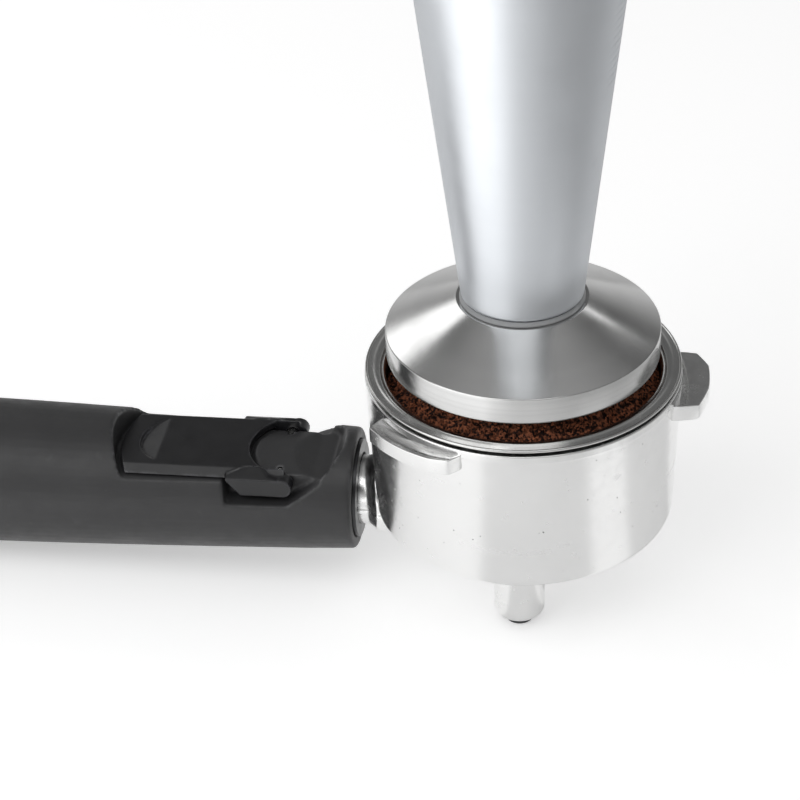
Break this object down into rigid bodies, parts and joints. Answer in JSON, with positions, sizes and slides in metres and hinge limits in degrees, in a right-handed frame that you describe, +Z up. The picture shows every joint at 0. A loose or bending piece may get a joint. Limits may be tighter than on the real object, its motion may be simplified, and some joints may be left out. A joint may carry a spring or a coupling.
{
  "type": "espresso filter holder with tamper",
  "caption": "Espresso filter holder with twin spout, perforated basket of grounds, flip-over basket retainer on its grip, and a turned tamper standing on the coffee.",
  "frame": {"origin": "axis of the cup on the plane of its rim, under the basket flange", "axes": "+Z up along the cup axis, towards the tamper; -X along the handle; +Y to the left seen from the handle's end"},
  "size_m": [0.1994, 0.0634, 0.1545],
  "materials": {
    "cast_aluminium": "polished casting with small pits",
    "spout_metal": "polished",
    "fastener_steel": "bright zinc",
    "seal_rubber": "matt",
    "liner_plastic": "matt moulded",
    "basket_steel": "drawn sheet, bright",
    "coffee": "loose ground grains",
    "grip_plastic": "matt moulded",
    "retainer_plastic": "satin moulded",
    "washer_plastic": "satin moulded",
    "tamper_steel": "turned and polished",
    "tamper_aluminium": "satin turned"
  },
  "bodies": {
    "holder": {"holder_body": "cast_aluminium", "spout_block": "spout_metal", "spout_screw": "fastener_steel", "spout_gasket": "seal_rubber", "outlet_liner_left": "liner_plastic", "outlet_liner_right": "liner_plastic", "basket_spring": "fastener_steel", "filter_basket": "basket_steel", "basket_outer_shell": "basket_steel", "coffee_bed": "coffee", "neck_ferrule": "fastener_steel", "handle_grip": "grip_plastic", "handle_bolt": "fastener_steel", "bolt_washer": "fastener_steel", "handle_end_cap": "grip_plastic", "retainer_pin": "fastener_steel"},
    "retainer": {"basket_retainer": "retainer_plastic"},
    "grounds": {"coffee_heap": "coffee"},
    "tamper": {"tamper_base": "tamper_steel", "tamper_foot_ring": "washer_plastic", "tamper_stud": "fastener_steel"},
    "tamper_knob": {"tamper_handle": "tamper_aluminium"}
  },
  "joints": [
    {"name": "retainer_flip", "type": "hinge", "parent": "holder", "child": "retainer", "pos_m": [-0.0468, 0, -0.0236], "axis": [0, 1, 0], "range_deg": [0, 119]},
    {"name": "tamp_press", "type": "slide", "parent": "holder", "child": "grounds", "axis": [0, 0, 1], "range_m": [-0.009, 0], "deforming": ["coffee_bed"]},
    {"name": "tamper_lift", "type": "slide", "parent": "grounds", "child": "tamper", "axis": [0, 0, 1], "range_m": [0, 0.05]},
    {"name": "tamper_unscrew", "type": "hinge", "parent": "tamper", "child": "tamper_knob", "pos_m": [0, 0, 0.0163], "axis": [0, 0, 1], "continuous": true}
  ]
}
